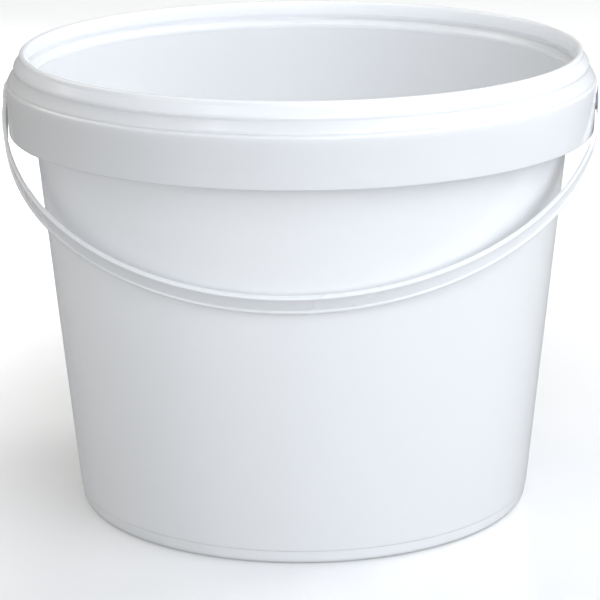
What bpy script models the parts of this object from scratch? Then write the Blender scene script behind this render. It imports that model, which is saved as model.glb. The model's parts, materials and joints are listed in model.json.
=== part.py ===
"""Open round plastic bucket with a moulded strap handle, modelled at its real size.

The frame: +Z is up, the bucket stands on z = 0 and is centred on the Z axis, the handle's pivot
axis runs along X, and the handle hangs against the front wall, on the -Y side.
"""

import math

import bmesh
import bpy
import numpy as np
from mathutils import Matrix, Vector

MM = 0.001
STEPS = 72                      # facets round every turned shape of the body

# Body, in millimetres
RIM_R = 140.0                   # outside radius of the rim's lip
RIM_W = 3.0                     # thickness of the lip
HEIGHT = 231.0
WALL = 1.6
FLOOR_TOP = 5.0
FLOOR_UNDER = 3.0               # underside of the floor, inside the foot ring
WALL_R0 = 115.1                 # the wall's outside radius, carried down to z = 0
WALL_SLOPE = 0.0972             # how much that radius grows for each millimetre of height
FOOT_OUT_R = 112.3
FOOT_IN_R = 109.0
FOOT_STEP_Z = 7.0               # small step in the wall above the foot

COLLAR_TOP_R = 147.0
COLLAR_TOP_Z = 214.6
COLLAR_BOT_R = 146.2
COLLAR_BOT_Z = 191.4
LEDGE_Z = 216.8                 # top of the straight wall inside, just under the lid's ledge

RIB_COUNT = 24
RIB_T = 1.4

# Handle, in millimetres
PIVOT_Z = 204.0
HANDLE_IN_R = 147.7             # inside radius of the strap's half circle
STRAP_W = 10.0
STRAP_T = 2.0                   # thickness at the ends
STRAP_MID_EXTRA = 0.4           # the middle is thicker by this share
STRAP_STEPS = 48
REST_GAP = 0.35                 # the hanging strap stops this far from the wall
DISC_R = 8.2
DISC_T = 2.3
STUD_R = 4.2
HOLE_R = 4.6
HEAD_R = 5.6
HEAD_BASE_X = 144.4             # the snap head starts behind the collar
HEAD_TIP_X = 141.0
HEAD_TIP_R = 3.6
SLOT_W = 1.4
SLOT_END_X = 146.2
DIMPLE_R = 3.0
DIMPLE_DEPTH = 0.7
ROUND_SIDES = 32                # facets round the discs, studs and holes


def clear_scene():
    for obj in list(bpy.data.objects):
        bpy.data.objects.remove(obj, do_unlink=True)


def new_collection(name):
    collection = bpy.data.collections.new(name)
    bpy.context.scene.collection.children.link(collection)
    return collection


def plastic(name, colour, roughness):
    material = bpy.data.materials.new(name)
    material.use_nodes = True
    shader = material.node_tree.nodes["Principled BSDF"]
    shader.inputs["Base Color"].default_value = (*colour, 1.0)
    shader.inputs["Roughness"].default_value = roughness
    shader.inputs["Metallic"].default_value = 0.0
    return material


def wall_r(z):
    """Outside radius of the tapered wall at a height."""
    return WALL_R0 + WALL_SLOPE * z


def arc(cx, cz, radius, start, end, count):
    """Points on an arc in the (radius, height) plane, from start to end in degrees."""
    angles = np.radians(np.linspace(start, end, count))
    return [(cx + radius * math.cos(a), cz + radius * math.sin(a)) for a in angles]


def mesh_object(name, mesh, collection, material=None):
    obj = bpy.data.objects.new(name, mesh)
    collection.objects.link(obj)
    if material:
        obj.data.materials.append(material)
    return obj


def turned(name, profile, collection, material=None):
    """A closed solid turned about Z from a profile of (radius, height) points in millimetres."""
    mesh = bpy.data.meshes.new(name)
    points = [(r * MM, 0.0, z * MM) for r, z in profile]
    edges = [(i, i + 1) for i in range(len(points) - 1)]
    mesh.from_pydata(points, edges, [])
    obj = mesh_object(name, mesh, collection, material)
    screw = obj.modifiers.new("turn", "SCREW")
    screw.steps = STEPS
    screw.render_steps = STEPS
    screw.use_merge_vertices = True
    screw.merge_threshold = 0.00005
    return obj


def body_profile():
    """Half section of the body, from the middle of its floor round to the middle of its underside."""
    inside = [
        (0.0, FLOOR_TOP),
        (111.2, FLOOR_TOP),
        (113.1, 5.7),
        (wall_r(7.6) - WALL, 7.6),
        (wall_r(LEDGE_Z) - WALL, LEDGE_Z),
    ]
    lid_ledge = [
        (134.35, 217.6),
        (134.35, 218.9),
        (136.3, 220.8),
    ]
    lid_groove = [
        (137.9, 221.5),
        (138.1, 222.4),
        (137.6, 223.6),
        (RIM_R - RIM_W, 224.2),
    ]
    lip_half = RIM_W / 2
    lip = arc(RIM_R - lip_half, HEIGHT - lip_half, lip_half, 180, 0, 7)
    shoulder = [
        (140.25, 228.5),
        (142.0, 226.4),
        (142.9, 225.0),
        (143.2, 223.9),
        (143.0, 222.6),
        (144.6, 219.3),
        (145.7, 218.3),
        (146.0, 217.5),
        (145.9, 216.9),
    ]
    collar_round = 1.2
    collar = arc(COLLAR_TOP_R - collar_round, COLLAR_TOP_Z, collar_round, 80, 0, 4)
    collar += [
        (COLLAR_BOT_R, COLLAR_BOT_Z + 0.6),
        (COLLAR_BOT_R - 0.4, COLLAR_BOT_Z),
        (COLLAR_BOT_R - WALL + 0.3, COLLAR_BOT_Z),
        (COLLAR_BOT_R - WALL, COLLAR_BOT_Z + 0.6),
        (COLLAR_TOP_R - WALL - 0.1, 213.4),
    ]
    under_shoulder = [
        (144.4, 215.8),
        (143.0, 218.9),
        (141.6, 221.9),
        (140.8, 222.4),
        (140.0, 221.9),
        (138.6, 219.4),
        (137.0, 217.6),
        (wall_r(215.2), 215.2),
    ]
    foot = [
        (wall_r(FOOT_STEP_Z), FOOT_STEP_Z),
        (115.2, 6.4),
        (114.8, 3.2),
        (114.0, 1.2),
        (FOOT_OUT_R, 0.0),
        (FOOT_IN_R, 0.0),
        (108.4, 0.6),
        (108.0, FLOOR_UNDER),
        (0.0, FLOOR_UNDER),
    ]
    return inside + lid_ledge + lid_groove + lip + shoulder + collar + under_shoulder + foot


def union(target, tool):
    add_boolean(target, tool, "UNION")


def cut(target, tool):
    add_boolean(target, tool, "DIFFERENCE")


def add_boolean(target, tool, operation):
    boolean = target.modifiers.new(operation.lower(), "BOOLEAN")
    boolean.operation = operation
    boolean.solver = "EXACT"
    boolean.object = tool


def hide_tool(obj):
    obj.hide_render = True
    obj.display_type = "WIRE"


def cone_along_x(name, side, x_near, x_far, r_near, r_far, z, collection):
    """A round tool along the X axis between two distances from the centre; side is 1 or -1."""
    mesh = bpy.data.meshes.new(name)
    bm = bmesh.new()
    bmesh.ops.create_cone(
        bm,
        cap_ends=True,
        segments=ROUND_SIDES,
        radius1=r_near * MM,
        radius2=r_far * MM,
        depth=(x_far - x_near) * MM,
    )
    turn = Matrix.Rotation(math.radians(90), 4, "Y")
    place = Matrix.Translation(((x_near + x_far) / 2 * MM, 0.0, z * MM))
    bmesh.ops.transform(bm, matrix=face_side(side) @ place @ turn, verts=bm.verts)
    bm.to_mesh(mesh)
    bm.free()
    tool = mesh_object(name, mesh, collection)
    hide_tool(tool)
    return tool


def face_side(side):
    """Half a turn about Z for a piece on the -X side."""
    return Matrix.Rotation(0.0 if side > 0 else math.pi, 4, "Z")


def rib_outline():
    """Side view of one stiffening rib, with its edges sunk into the wall, shoulder and collar."""
    sink = WALL / 2
    return [
        (wall_r(200.0) - sink, 200.0),
        (145.4, 196.0),
        (146.1, 213.0),
        (145.1, 215.6),
        (143.2, 219.6),
        (141.9, 222.4),
        (140.8, 223.2),
        (139.4, 222.1),
        (138.0, 219.7),
        (136.5, 217.9),
        (wall_r(216.0) - sink, 216.0),
    ]


def make_ribs(collection):
    """Thin radial plates between the wall and the collar, seen only from below."""
    mesh = bpy.data.meshes.new("ribs")
    bm = bmesh.new()
    for index in range(RIB_COUNT):
        turn = Matrix.Rotation(math.tau * (index + 0.5) / RIB_COUNT, 3, "Z")
        points = [Vector((r, -RIB_T / 2, z)) * MM for r, z in rib_outline()]
        face = bm.faces.new([bm.verts.new(turn @ point) for point in points])
        sweep = bmesh.ops.extrude_face_region(bm, geom=[face])
        moved = [item for item in sweep["geom"] if isinstance(item, bmesh.types.BMVert)]
        across = turn @ Vector((0.0, RIB_T, 0.0)) * MM
        bmesh.ops.translate(bm, verts=moved, vec=across)
    bmesh.ops.recalc_face_normals(bm, faces=bm.faces)
    bm.to_mesh(mesh)
    bm.free()
    ribs = mesh_object("ribs", mesh, collection)
    hide_tool(ribs)
    return ribs


def make_bucket(collection, tools, material):
    bucket = turned("bucket", body_profile(), collection, material)
    union(bucket, make_ribs(tools))
    hole_span = (COLLAR_BOT_R - 4.0, COLLAR_TOP_R + 2.0)
    for side in (-1, 1):
        hole = cone_along_x(f"hole_{side}", side, *hole_span, HOLE_R, HOLE_R, PIVOT_Z, tools)
        cut(bucket, hole)
    return bucket


def rest_angle():
    """How far below level the handle hangs when its lower inside edge meets the wall."""
    half = STRAP_W / 2
    a = HANDLE_IN_R + WALL_SLOPE * half
    b = WALL_SLOPE * HANDLE_IN_R - half
    c = wall_r(PIVOT_Z) + REST_GAP * math.hypot(1.0, WALL_SLOPE)
    return math.atan2(b, a) + math.acos(c / math.hypot(a, b))


def strap_section():
    """Cross-section as (outwards, across): a flat band whose two edges stand proud outside."""
    half = STRAP_W / 2
    recess = STRAP_T - 0.7
    upper = [
        (recess, half - 1.6),
        (STRAP_T, half - 1.2),
        (STRAP_T, half - 0.4),
        (STRAP_T - 0.4, half),
        (0.4, half),
        (0.0, half - 0.4),
    ]
    lower = [(out, -across) for out, across in reversed(upper)]
    return upper + lower


def make_strap(name, collection, material):
    """Half circle of strap about the local Z axis, dropping towards -Y, thicker in its middle."""
    mesh = bpy.data.meshes.new(name)
    bm = bmesh.new()
    section = [
        bm.verts.new((-(HANDLE_IN_R + out) * MM, 0.0, across * MM))
        for out, across in strap_section()
    ]
    face = bm.faces.new(section)
    bmesh.ops.spin(
        bm,
        geom=[face],
        cent=(0.0, 0.0, 0.0),
        axis=(0.0, 0.0, 1.0),
        angle=math.pi,
        steps=STRAP_STEPS,
    )
    inner = HANDLE_IN_R * MM
    for vert in bm.verts:
        radius = math.hypot(vert.co.x, vert.co.y)
        share = (vert.co.y / radius) ** 2
        grown = inner + (radius - inner) * (1.0 + STRAP_MID_EXTRA * share)
        vert.co.x *= grown / radius
        vert.co.y *= grown / radius
    bmesh.ops.recalc_face_normals(bm, faces=bm.faces)
    bm.to_mesh(mesh)
    bm.free()
    return mesh_object(name, mesh, collection, material)


def slot_cutter(name, side, collection):
    """The slit that splits a snap head in two so that it can squeeze through its hole."""
    mesh = bpy.data.meshes.new(name)
    bm = bmesh.new()
    bmesh.ops.create_cube(bm, size=1.0)
    start = HEAD_TIP_X - 1.0
    size = Matrix.Diagonal(((SLOT_END_X - start) * MM, SLOT_W * MM, 4 * HEAD_R * MM, 1.0))
    place = Matrix.Translation(((start + SLOT_END_X) / 2 * MM, 0.0, 0.0))
    bmesh.ops.transform(bm, matrix=face_side(side) @ place @ size, verts=bm.verts)
    bm.to_mesh(mesh)
    bm.free()
    tool = mesh_object(name, mesh, collection)
    hide_tool(tool)
    return tool


def add_end(handle, side, tools):
    """One end of the handle: a disc outside the collar and a split snap stud through its hole."""
    disc_in = HANDLE_IN_R - 0.05
    disc_out = disc_in + DISC_T
    disc = cone_along_x(f"disc_{side}", side, disc_in, disc_out, DISC_R, DISC_R - 0.5, 0.0, tools)
    stud_span = (HEAD_BASE_X - 0.5, HANDLE_IN_R + 0.6)
    stud = cone_along_x(f"stud_{side}", side, *stud_span, STUD_R, STUD_R, 0.0, tools)
    head_span = (HEAD_TIP_X, HEAD_BASE_X)
    head = cone_along_x(f"head_{side}", side, *head_span, HEAD_TIP_R, HEAD_R, 0.0, tools)
    dimple_span = (disc_out - DIMPLE_DEPTH, disc_out + 2.0)
    dimple = cone_along_x(f"dimple_{side}", side, *dimple_span, DIMPLE_R, DIMPLE_R, 0.0, tools)
    slot = slot_cutter(f"slot_{side}", side, tools)
    for tool in (disc, stud, head):
        union(handle, tool)
    for tool in (slot, dimple):
        cut(handle, tool)
    return [disc, stud, head, slot, dimple]


def make_handle(collection, tools, material):
    handle = make_strap("handle", collection, material)
    end_tools = add_end(handle, -1, tools) + add_end(handle, 1, tools)
    pivot = bpy.data.objects.new("handle_pivot", None)
    collection.objects.link(pivot)
    pivot.location = (0.0, 0.0, PIVOT_Z * MM)
    pivot.rotation_euler = (rest_angle(), 0.0, 0.0)
    for obj in [handle] + end_tools:
        obj.parent = pivot
    return handle


def shade_round(obj):
    obj.data.shade_smooth()
    obj.data.set_sharp_from_angle(angle=math.radians(35))


def main():
    clear_scene()
    parts = new_collection("bucket_with_handle")
    tools = new_collection("cutters")
    white = plastic("white_polypropylene", (0.83, 0.85, 0.87), 0.34)
    handle_white = plastic("handle_polypropylene", (0.84, 0.86, 0.88), 0.4)
    bucket = make_bucket(parts, tools, white)
    handle = make_handle(parts, tools, handle_white)
    for obj in (bucket, handle):
        shade_round(obj)


main()
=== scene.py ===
"""Looks of an open white plastic bucket with a moulded strap handle.

Two pieces stand for the two CAD solids: the bucket, one moulding with its collar and hidden ribs,
and the handle, one moulding with its discs and split snap studs.
"""

import json
import math

import bmesh
import bpy
import numpy as np
from mathutils import Matrix, Vector


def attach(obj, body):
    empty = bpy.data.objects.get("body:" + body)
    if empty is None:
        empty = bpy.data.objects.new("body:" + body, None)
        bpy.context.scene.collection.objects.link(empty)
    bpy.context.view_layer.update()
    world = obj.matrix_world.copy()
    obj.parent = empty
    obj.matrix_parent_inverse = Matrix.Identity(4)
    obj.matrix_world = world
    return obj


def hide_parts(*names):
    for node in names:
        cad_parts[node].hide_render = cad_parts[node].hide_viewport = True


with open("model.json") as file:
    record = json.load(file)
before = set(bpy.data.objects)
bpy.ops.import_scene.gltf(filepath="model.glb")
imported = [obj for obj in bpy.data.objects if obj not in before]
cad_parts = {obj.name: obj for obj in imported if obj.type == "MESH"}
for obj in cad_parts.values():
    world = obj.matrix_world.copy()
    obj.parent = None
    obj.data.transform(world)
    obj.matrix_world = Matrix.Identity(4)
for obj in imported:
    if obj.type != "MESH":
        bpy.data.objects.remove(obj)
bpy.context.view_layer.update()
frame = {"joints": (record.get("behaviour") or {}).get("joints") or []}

MM = 0.001

# Bucket, in millimetres, as in the CAD
WALL = 1.6
WALL_R0 = 115.1                 # outside radius of the wall carried down to z = 0
WALL_SLOPE = 0.0972             # how much that radius grows for each millimetre of height
HEIGHT = 231.0
RIM_R = 140.0                   # outside radius of the rim's lip
RIM_W = 3.0                     # thickness of the lip
COLLAR_TOP_R = 147.0
COLLAR_BOT_R = 146.2
COLLAR_BOT_Z = 191.4
RIB_COUNT = 24
RIB_T = 1.4

# Handle, in millimetres, as in the CAD
PIVOT_Z = frame["joints"][0]["pos_m"][2] / MM
HANDLE_IN_R = 147.7             # inside radius of the strap's half circle
STRAP_W = 10.0
STRAP_T = 2.0                   # thickness at the ends
STRAP_MID_EXTRA = 0.4           # the middle is thicker by this share
REST_GAP = 0.35                 # the hanging strap stops this far from the wall
DISC_R = 8.2
DISC_T = 2.3
STUD_R = 4.2
HOLE_R = 4.6
HEAD_R = 5.6
HEAD_BASE_X = 144.4             # the snap head starts behind the collar
HEAD_TIP_X = 141.0
HEAD_TIP_R = 3.6
SLOT_W = 1.4
SLOT_END_X = 146.2

# Fine detail, in millimetres unless a comment says otherwise
LIP_PROUD = 0.7                 # height of the lips along the strap's edges
LIP_TOP_W = 1.35
LIP_FOOT_W = 1.75
DISC_SINK = 0.05                # the disc starts this far inside the strap's inner radius
DIMPLE_R = 3.1                  # dent in the disc's outside
DIMPLE_FLOOR_R = 2.6
DIMPLE_DEPTH = 0.7
MARK_COUNT = 11                 # ejector pin marks along the strap's inside
MARK_FIRST = 15.0               # degrees along the strap, from its +X end
MARK_LAST = 165.0
MARK_R = 2.0
MARK_DEPTH = 0.15

# Facets round each shape
BUCKET_SIDES = 256
STRAP_SIDES = 180               # over the strap's half circle
ROUND_SIDES = 64                # discs, studs, holes and marks
SHARP_ANGLE = 32.0              # degrees between faces from which an edge stays sharp


def wall_r(z):
    """Outside radius of the tapered wall at a height."""
    return WALL_R0 + WALL_SLOPE * z


def rest_angle():
    """How far below level the handle hangs, with its lower inside edge REST_GAP off the wall."""
    half = STRAP_W / 2
    a = HANDLE_IN_R + WALL_SLOPE * half
    b = WALL_SLOPE * HANDLE_IN_R - half
    c = wall_r(PIVOT_Z) + REST_GAP * math.hypot(1.0, WALL_SLOPE)
    return math.atan2(b, a) + math.acos(c / math.hypot(a, b))


# Outlines ------------------------------------------------------------------------------------

MOST_REACH = 0.48               # share of a side that one rounding may use up
STRAIGHT = math.radians(89.5)   # half angle from which a corner counts as straight


def round_corner(before, corner, after, radius, count):
    """Points on the arc that rounds one corner, or the corner itself where it stays as it is."""
    corner = np.array(corner, float)
    to_before = np.array(before, float) - corner
    to_after = np.array(after, float) - corner
    len_before = np.linalg.norm(to_before)
    len_after = np.linalg.norm(to_after)
    u = to_before / len_before
    v = to_after / len_after
    half = math.acos(float(np.clip(u @ v, -1.0, 1.0))) / 2
    if radius <= 0 or half > STRAIGHT:
        return [tuple(corner)]
    reach = min(radius / math.tan(half), MOST_REACH * len_before, MOST_REACH * len_after)
    radius = reach * math.tan(half)
    middle = (u + v) / np.linalg.norm(u + v)
    centre = corner + middle * radius / math.sin(half)
    first = corner + u * reach - centre
    last = corner + v * reach - centre
    turn = math.atan2(first[0] * last[1] - first[1] * last[0], float(first @ last))
    points = []
    for share in np.linspace(0.0, 1.0, count):
        c, s = math.cos(turn * share), math.sin(turn * share)
        points.append((centre[0] + first[0] * c - first[1] * s,
                       centre[1] + first[0] * s + first[1] * c))
    return points


def rounded(corners, closed=False, count=6):
    """An outline of (a, b, radius) corners with every corner rounded by its own radius."""
    total = len(corners)
    points = []
    for i, (a, b, radius) in enumerate(corners):
        if not closed and i in (0, total - 1):
            points.append((a, b))
            continue
        before = corners[i - 1][:2]
        after = corners[(i + 1) % total][:2]
        points += round_corner(before, (a, b), after, radius, count)
    return points


def bucket_outline():
    """Half section as (radius, height), from the floor's middle round to its underside's middle.

    The corners also hold the radius that rounds them.
    """
    floor = [
        (0.0, 5.5, 0),
        (5.0, 5.5, 1.0),
        (6.2, 5.0, 1.0),
        (98.0, 5.0, 0.6),
        (98.6, 5.25, 0.6),
        (107.0, 5.25, 0.6),
        (107.6, 5.0, 0.6),
        (wall_r(5.0) - WALL, 5.0, 3.4),
    ]
    ledge = [
        (wall_r(216.6) - WALL, 216.6, 0.8),
        (134.35, 217.5, 0.4),
        (134.35, 219.0, 0.5),
        (136.3, 220.8, 1.2),
        (137.9, 221.4, 0.5),
        (138.15, 222.4, 0.6),
        (RIM_R - RIM_W, 224.3, 0.8),
    ]
    lip = [
        (RIM_R - RIM_W, HEIGHT, RIM_W / 2 - 0.01),
        (RIM_R, HEIGHT, RIM_W / 2 - 0.01),
    ]
    shoulder = [
        (140.2, 228.6, 1.0),
        (142.95, 224.9, 0.9),
        (143.2, 223.9, 0.4),
        (142.95, 222.6, 0.5),
        (145.7, 218.3, 0.8),
        (146.05, 217.3, 0.3),
        (145.9, 216.7, 0.3),
        (COLLAR_TOP_R, 215.8, 1.0),
    ]
    collar = [
        (COLLAR_BOT_R, COLLAR_BOT_Z, 0.5),
        (COLLAR_BOT_R - WALL, COLLAR_BOT_Z, 0.5),
        (COLLAR_TOP_R - WALL - 0.1, 213.6, 1.5),
        (143.0, 218.9, 1.5),
        (141.5, 222.3, 0.8),
        (140.2, 222.3, 0.8),
        (138.6, 219.4, 1.0),
        (wall_r(216.0), 216.0, 1.5),
    ]
    foot = [
        (wall_r(7.0), 7.0, 0.3),
        (115.2, 6.4, 0.4),
        (114.7, 0.0, 2.4),
        (109.0, 0.0, 0.5),
        (108.0, 3.0, 0.8),
    ]
    underside = [
        (92.0, 3.0, 0.5),
        (91.2, 2.5, 0.5),
        (46.0, 2.5, 0.5),
        (45.2, 3.0, 0.5),
        (9.0, 3.0, 1.0),
        (7.6, 2.4, 0.8),
        (2.2, 2.4, 0.3),
        (1.9, 1.6, 0.3),
        (0.0, 1.6, 0),
    ]
    return rounded(floor + ledge + lip + shoulder + collar + foot + underside)


def strap_outline():
    """Cross-section as (outwards, across): a flat band whose edges stand proud on its outside."""
    half = STRAP_W / 2
    recess = STRAP_T - LIP_PROUD
    upper = [
        (recess, half - LIP_FOOT_W, 0.25),
        (STRAP_T, half - LIP_TOP_W, 0.3),
        (STRAP_T, half, 0.45),
        (0.0, half, 0.4),
    ]
    lower = [(out, -across, radius) for out, across, radius in reversed(upper)]
    return rounded(upper + lower, closed=True, count=5)


# Mesh building -------------------------------------------------------------------------------


def new_object(name, mesh):
    obj = bpy.data.objects.new(name, mesh)
    bpy.context.scene.collection.objects.link(obj)
    return obj


def turned(name, outline, sides):
    """A closed solid turned about Z. The outline starts and ends on the axis."""
    verts = []
    rows = []
    angles = np.linspace(0.0, math.tau, sides, endpoint=False)
    for r, z in outline:
        if r < 1e-6:
            rows.append([len(verts)] * sides)
            verts.append((0.0, 0.0, z * MM))
            continue
        rows.append(list(range(len(verts), len(verts) + sides)))
        verts += [(r * math.cos(a) * MM, r * math.sin(a) * MM, z * MM) for a in angles]
    faces = []
    for upper, lower in zip(rows, rows[1:]):
        for i in range(sides):
            j = (i + 1) % sides
            loop = [upper[i], lower[i], lower[j], upper[j]]
            faces.append(list(dict.fromkeys(loop)))
    mesh = bpy.data.meshes.new(name)
    mesh.from_pydata(verts, [], faces)
    mesh.update()
    return new_object(name, mesh)


def apply_boolean(target, tool, operation):
    """Joins or cuts target with tool, keeps the result in target's mesh and removes the tool."""
    boolean = target.modifiers.new(operation, "BOOLEAN")
    boolean.operation = operation
    boolean.solver = "EXACT"
    boolean.object = tool
    bpy.context.view_layer.update()
    evaluated = target.evaluated_get(bpy.context.evaluated_depsgraph_get())
    mesh = bpy.data.meshes.new_from_object(evaluated)
    target.modifiers.clear()
    target.data = mesh
    bpy.data.objects.remove(tool, do_unlink=True)


def turned_about_x(name, side, outline):
    """A solid turned about the X axis from (radius, distance from the centre) points."""
    obj = turned(name, outline, ROUND_SIDES)
    obj.data.transform(side_matrix(side) @ Matrix.Rotation(math.radians(90), 4, "Y"))
    return obj


def side_matrix(side):
    """Half a turn about Z for a piece on the -X side."""
    return Matrix.Rotation(0.0 if side > 0 else math.pi, 4, "Z")


def smooth(obj):
    obj.data.shade_smooth()
    obj.data.set_sharp_from_angle(angle=math.radians(SHARP_ANGLE))


# Bucket --------------------------------------------------------------------------------------


def rib_outline():
    """Side view of one stiffening rib, with its edges sunk into the wall, shoulder and collar."""
    sink = WALL / 2
    return [
        (wall_r(200.0) - sink, 200.0),
        (wall_r(200.0) + 2.2, 199.2),
        (145.4, 196.0),
        (146.1, 213.0),
        (145.1, 215.6),
        (143.2, 219.6),
        (141.9, 222.6),
        (140.8, 223.3),
        (139.4, 222.4),
        (138.0, 219.8),
        (136.4, 217.9),
        (wall_r(216.0) - sink, 216.0),
    ]


def make_ribs():
    bm = bmesh.new()
    for index in range(RIB_COUNT):
        turn = Matrix.Rotation(math.tau * (index + 0.5) / RIB_COUNT, 4, "Z")
        sides = []
        for across in (-RIB_T / 2, RIB_T / 2):
            points = [turn @ Vector((r * MM, across * MM, z * MM)) for r, z in rib_outline()]
            sides.append([bm.verts.new(point) for point in points])
        near, far = sides
        bm.faces.new(near)
        bm.faces.new(list(reversed(far)))
        for i in range(len(near)):
            j = (i + 1) % len(near)
            bm.faces.new((near[j], near[i], far[i], far[j]))
    bmesh.ops.recalc_face_normals(bm, faces=bm.faces)
    mesh = bpy.data.meshes.new("ribs")
    bm.to_mesh(mesh)
    bm.free()
    return new_object("ribs", mesh)


def hole_cutter(side):
    outside = COLLAR_TOP_R + 2.0
    inside = COLLAR_BOT_R - 4.0
    outline = [(0.0, outside), (HOLE_R, outside), (HOLE_R, inside), (0.0, inside)]
    cutter = turned_about_x("hole", side, outline)
    cutter.data.transform(Matrix.Translation((0.0, 0.0, PIVOT_Z * MM)))
    return cutter


def make_bucket():
    bucket = turned("bucket_shell", bucket_outline(), BUCKET_SIDES)
    apply_boolean(bucket, make_ribs(), "UNION")
    for side in (-1, 1):
        apply_boolean(bucket, hole_cutter(side), "DIFFERENCE")
    smooth(bucket)
    return bucket


# Handle --------------------------------------------------------------------------------------


def make_strap():
    """Half circle of strap round the local Z axis, on its -Y side, thickest in the middle."""
    section = strap_outline()
    verts = []
    for angle in np.linspace(math.pi, math.tau, STRAP_SIDES + 1):
        c, s = math.cos(angle), math.sin(angle)
        grow = 1.0 + STRAP_MID_EXTRA * s * s
        for out, across in section:
            radius = HANDLE_IN_R + out * grow
            verts.append((radius * c * MM, radius * s * MM, across * MM))
    count = len(section)
    faces = [list(range(count))]
    for ring in range(STRAP_SIDES):
        for i in range(count):
            j = (i + 1) % count
            near = ring * count
            far = near + count
            faces.append((near + i, far + i, far + j, near + j))
    faces.append([STRAP_SIDES * count + i for i in reversed(range(count))])
    mesh = bpy.data.meshes.new("handle_strap")
    mesh.from_pydata(verts, [], faces)
    bm = bmesh.new()
    bm.from_mesh(mesh)
    bmesh.ops.recalc_face_normals(bm, faces=bm.faces)
    bm.to_mesh(mesh)
    bm.free()
    return new_object("handle_strap", mesh)


def disc_outline():
    """The disc outside the collar, then its stud and snap head, as (radius, distance along X)."""
    inner = HANDLE_IN_R - DISC_SINK
    outer = inner + DISC_T
    return rounded([
        (0.0, outer - DIMPLE_DEPTH, 0),
        (DIMPLE_FLOOR_R, outer - DIMPLE_DEPTH, 0.3),
        (DIMPLE_R, outer, 0.3),
        (DISC_R, outer, 0.7),
        (DISC_R, inner, 0.3),
        (STUD_R, inner, 0.4),
        (STUD_R, HEAD_BASE_X, 0.1),
        (HEAD_R, HEAD_BASE_X, 0.25),
        (HEAD_R, HEAD_BASE_X - 0.5, 0.3),
        (HEAD_TIP_R, HEAD_TIP_X, 0.5),
        (0.0, HEAD_TIP_X, 0),
    ])


def slot_cutter(side):
    start = HEAD_TIP_X - 1.0
    bm = bmesh.new()
    bmesh.ops.create_cube(bm, size=1.0)
    size = Matrix.Diagonal(((SLOT_END_X - start) * MM, SLOT_W * MM, 4 * HEAD_R * MM, 1.0))
    place = Matrix.Translation(((start + SLOT_END_X) / 2 * MM, 0.0, 0.0))
    bmesh.ops.transform(bm, matrix=side_matrix(side) @ place @ size, verts=bm.verts)
    mesh = bpy.data.meshes.new("slot")
    bm.to_mesh(mesh)
    bm.free()
    return new_object("slot", mesh)


def ejector_mark(degrees):
    """Cutter for the shallow round dent that an ejector pin leaves in the strap's inside."""
    bottom = HANDLE_IN_R + MARK_DEPTH
    start = HANDLE_IN_R - 1.0
    outline = [(0.0, bottom), (MARK_R, bottom), (MARK_R, start), (0.0, start)]
    cutter = turned_about_x("mark", 1, outline)
    cutter.data.transform(Matrix.Rotation(-math.radians(degrees), 4, "Z"))
    return cutter


def make_handle():
    handle = make_strap()
    for side in (-1, 1):
        apply_boolean(handle, turned_about_x("disc", side, disc_outline()), "UNION")
        apply_boolean(handle, slot_cutter(side), "DIFFERENCE")
    for degrees in np.linspace(MARK_FIRST, MARK_LAST, MARK_COUNT):
        apply_boolean(handle, ejector_mark(degrees), "DIFFERENCE")
    place = Matrix.Translation((0.0, 0.0, PIVOT_Z * MM))
    handle.data.transform(place @ Matrix.Rotation(rest_angle(), 4, "X"))
    smooth(handle)
    return handle


# Materials -----------------------------------------------------------------------------------

WHITE = (0.86, 0.872, 0.885, 1.0)
WHITE_MOTTLE = (0.85, 0.863, 0.877, 1.0)
# Colour of the painted contact shade at the foot, where the bucket meets the floor.
FOOT_SHADE_COLOUR = (0.7, 0.7, 0.68, 1.0)
BUCKET_ROUGHNESS = 0.19
HANDLE_ROUGHNESS = 0.26
ROUGHNESS_SPREAD = 0.025        # to either side, over the mottling
PEEL_HEIGHT = 0.000004          # metres, as are the next two
WAVE_HEIGHT = 0.00005
FOOT_SHADE_AND_WEAR_TOP = 0.007           # painted shade and scuffs fade out at this height


class Nodes:
    """Short calls for building one material's node tree."""

    def __init__(self, name):
        self.material = bpy.data.materials.new(name)
        self.material.use_nodes = True
        self.tree = self.material.node_tree
        self.shader = self.tree.nodes["Principled BSDF"]
        self.place = self.add("ShaderNodeTexCoord").outputs["Object"]

    def add(self, kind, **settings):
        node = self.tree.nodes.new(kind)
        for key, value in settings.items():
            setattr(node, key, value)
        return node

    def link(self, source, target):
        if isinstance(source, bpy.types.NodeSocket):
            self.tree.links.new(source, target)
        else:
            target.default_value = source

    def noise(self, scale, detail, roughness=0.5):
        node = self.add("ShaderNodeTexNoise")
        self.link(self.place, node.inputs["Vector"])
        node.inputs["Scale"].default_value = scale
        node.inputs["Detail"].default_value = detail
        node.inputs["Roughness"].default_value = roughness
        return node.outputs["Fac"]

    def remap(self, value, from_min, from_max, to_min, to_max):
        node = self.add("ShaderNodeMapRange", clamp=True)
        self.link(value, node.inputs["Value"])
        for key, number in zip(
            ("From Min", "From Max", "To Min", "To Max"), (from_min, from_max, to_min, to_max)
        ):
            node.inputs[key].default_value = number
        return node.outputs["Result"]

    def math(self, operation, a, b):
        node = self.add("ShaderNodeMath", operation=operation)
        self.link(a, node.inputs[0])
        self.link(b, node.inputs[1])
        return node.outputs["Value"]

    def mix(self, share, a, b):
        node = self.add("ShaderNodeMix", data_type="RGBA")
        self.link(share, node.inputs["Factor"])
        self.link(a, node.inputs["A"])
        self.link(b, node.inputs["B"])
        return node.outputs["Result"]

    def axis(self, name):
        node = self.add("ShaderNodeSeparateXYZ")
        self.link(self.place, node.inputs["Vector"])
        return node.outputs[name]

    def bump(self, height, distance, normal=None):
        node = self.add("ShaderNodeBump")
        node.inputs["Strength"].default_value = 1.0
        node.inputs["Distance"].default_value = distance
        self.link(height, node.inputs["Height"])
        if normal:
            self.link(normal, node.inputs["Normal"])
        return node.outputs["Normal"]


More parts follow.
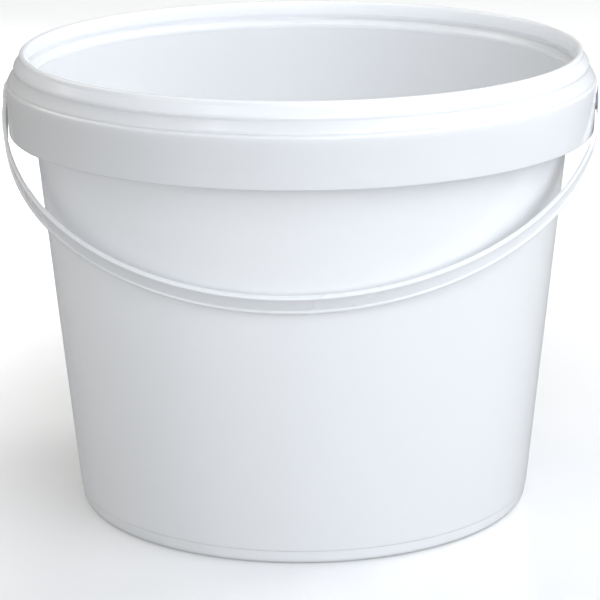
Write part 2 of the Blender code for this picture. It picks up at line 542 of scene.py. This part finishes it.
def base_plastic(name, roughness):
    """White polypropylene: faint flow mottling and a moulded skin with fine peel and slow waves.

    Gives the nodes, the colour and the roughness, and leaves the last two to be linked.
    """
    n = Nodes(name)
    mottle = n.remap(n.noise(9.0, 3.0), 0.3, 0.7, 0.0, 1.0)
    body = n.mix(mottle, WHITE, WHITE_MOTTLE)
    smoothest = roughness - ROUGHNESS_SPREAD
    roughest = roughness + ROUGHNESS_SPREAD
    gloss = n.remap(n.noise(24.0, 3.0), 0.3, 0.7, smoothest, roughest)
    peel = n.bump(n.noise(700.0, 2.0), PEEL_HEIGHT)
    waves = n.bump(n.noise(30.0, 1.0), WAVE_HEIGHT, peel)
    n.link(waves, n.shader.inputs["Normal"])
    n.shader.inputs["IOR"].default_value = 1.49
    n.shader.inputs["Specular IOR Level"].default_value = 0.5
    n.shader.inputs["Subsurface Weight"].default_value = 0.9
    n.shader.inputs["Subsurface Radius"].default_value = (1.0, 1.0, 1.0)
    n.shader.inputs["Subsurface Scale"].default_value = 0.004
    return n, body, gloss


def bucket_plastic():
    n, body, gloss = base_plastic("bucket_plastic", BUCKET_ROUGHNESS)
    # Painted shade: the colour darkens in patches over the foot, more towards the floor.
    low = n.remap(n.axis("Z"), 0.0, FOOT_SHADE_AND_WEAR_TOP, 1.0, 0.0)
    painted_foot_shade = n.math("MULTIPLY", low, n.remap(n.noise(70.0, 5.0), 0.4, 0.7, 0.05, 0.3))
    n.link(n.mix(painted_foot_shade, body, FOOT_SHADE_COLOUR), n.shader.inputs["Base Color"])
    scuffs = n.math("MULTIPLY", low, n.remap(n.noise(260.0, 4.0, 0.6), 0.45, 0.65, 0.0, 0.08))
    n.link(n.math("ADD", gloss, scuffs), n.shader.inputs["Roughness"])
    return n.material


def handle_plastic():
    n, body, gloss = base_plastic("handle_plastic", HANDLE_ROUGHNESS)
    n.link(body, n.shader.inputs["Base Color"])
    n.link(gloss, n.shader.inputs["Roughness"])
    return n.material


# Stage ---------------------------------------------------------------------------------------

FLOOR_HALF = 12.0               # metres from the floor's middle to its side
FLOOR_GAP = 0.0002              # metres from the floor up to the bucket's foot
COOL = (0.935, 0.985, 1.06)
WARM = (1.08, 1.0, 0.9)
NEUTRAL = (1.0, 1.0, 1.0)
WASH_SPREAD = 50.0              # degrees


def make_floor():
    mesh = bpy.data.meshes.new("floor")
    bm = bmesh.new()
    bmesh.ops.create_grid(bm, x_segments=1, y_segments=1, size=FLOOR_HALF)
    bm.to_mesh(mesh)
    bm.free()
    floor = new_object("floor", mesh)
    floor.location.z = -FLOOR_GAP
    # Diffuse and glossy rays pass through the floor, so the bucket gets the even light of the
    # world from below instead of the bright floor's light.
    floor.visible_diffuse = False
    floor.visible_glossy = False
    material = bpy.data.materials.new("floor_white")
    material.use_nodes = True
    shader = material.node_tree.nodes["Principled BSDF"]
    shader.inputs["Base Color"].default_value = (0.9, 0.9, 0.9, 1.0)
    shader.inputs["Roughness"].default_value = 0.16
    floor.data.materials.append(material)


def softbox(name, around, up, size, power, colour=NEUTRAL, reach=2.2, aim=(0.0, 0.0, 0.1), spread=180):
    """A square light. Its angles are in degrees: around from the front towards +X, and up."""
    data = bpy.data.lights.new(name, "AREA")
    data.shape = "SQUARE"
    data.size = size
    data.energy = power
    data.color = colour
    data.spread = math.radians(spread)
    light = bpy.data.objects.new(name, data)
    bpy.context.scene.collection.objects.link(light)
    turn = math.radians(around)
    rise = math.radians(up)
    towards = Vector((
        math.sin(turn) * math.cos(rise),
        -math.cos(turn) * math.cos(rise),
        math.sin(rise),
    ))
    light.location = Vector(aim) + reach * towards
    light.rotation_euler = towards.to_track_quat("Z", "Y").to_euler()


def floor_wash(name, place, size, power):
    """A light shining straight down on the floor through a grid that keeps it off its sides."""
    data = bpy.data.lights.new(name, "AREA")
    data.shape = "RECTANGLE"
    data.size, data.size_y = size
    data.energy = power
    data.spread = math.radians(WASH_SPREAD)
    light = bpy.data.objects.new(name, data)
    bpy.context.scene.collection.objects.link(light)
    light.location = place


def make_lights():
    world = bpy.data.worlds.new("studio")
    world.use_nodes = True
    background = world.node_tree.nodes["Background"]
    background.inputs["Color"].default_value = (0.985, 0.998, 1.012, 1.0)
    background.inputs["Strength"].default_value = 0.37
    bpy.context.scene.world = world
    softbox("front_low", 12, 11, 0.9, 11.5, COOL)
    softbox("right_low", 50, 11, 0.9, 8.5, COOL)
    softbox("left_low", -50, 11, 0.9, 3.0, WARM)
    softbox("key", 34, 32, 1.2, 11.5, COOL)
    softbox("side", 70, 36, 1.2, 13.5, COOL)
    softbox("window", -37, 50, 0.3, 1.4)
    softbox("back_left", -120, 40, 1.0, 6.0, WARM)
    softbox("back_right", 120, 40, 1.0, 16.0)
    softbox("into_mouth", -18, 42, 0.12, 0.012, COOL, reach=0.8, aim=(0.03, 0.1, 0.19), spread=21)
    floor_wash("wash_behind", (0.0, 1.25, 1.1), (2.0, 1.7), 8.0)
    floor_wash("wash_left", (-0.56, 0.2, 0.9), (0.3, 1.8), 7.5)
    floor_wash("wash_right", (0.56, 0.3, 0.9), (0.3, 1.6), 3.0)


CAMERA_TURN = 4.0               # degrees round the bucket from straight in front, towards +X
CAMERA_PITCH = 15.87            # degrees down
CAMERA_ROLL = -0.4              # degrees
CAMERA_REACH = 1.26             # metres from the bucket's axis
CAMERA_HEIGHT = 0.4574          # metres
CAMERA_LENS = 153.25            # millimetres
CAMERA_SHIFT = -0.0047


def make_camera():
    data = bpy.data.cameras.new("camera")
    data.sensor_width = 36.0
    data.lens = CAMERA_LENS
    data.shift_x = CAMERA_SHIFT
    data.clip_start = 0.05
    camera = bpy.data.objects.new("camera", data)
    bpy.context.scene.collection.objects.link(camera)
    turn = math.radians(CAMERA_TURN)
    camera.location = (
        CAMERA_REACH * math.sin(turn),
        -CAMERA_REACH * math.cos(turn),
        CAMERA_HEIGHT,
    )
    aim = (
        Matrix.Rotation(turn, 3, "Z")
        @ Matrix.Rotation(math.radians(90 - CAMERA_PITCH), 3, "X")
        @ Matrix.Rotation(math.radians(CAMERA_ROLL), 3, "Z")
    )
    camera.rotation_euler = aim.to_euler()
    bpy.context.scene.camera = camera


def main():
    bucket = make_bucket()
    bucket.data.materials.clear()
    bucket.data.materials.append(bucket_plastic())
    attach(bucket, "bucket")
    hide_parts("bucket")

    handle = make_handle()
    handle.data.materials.clear()
    handle.data.materials.append(handle_plastic())
    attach(handle, "handle")
    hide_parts("handle")

    make_floor()
    make_lights()
    make_camera()
    bpy.context.scene.view_settings.view_transform = "Standard"


main()
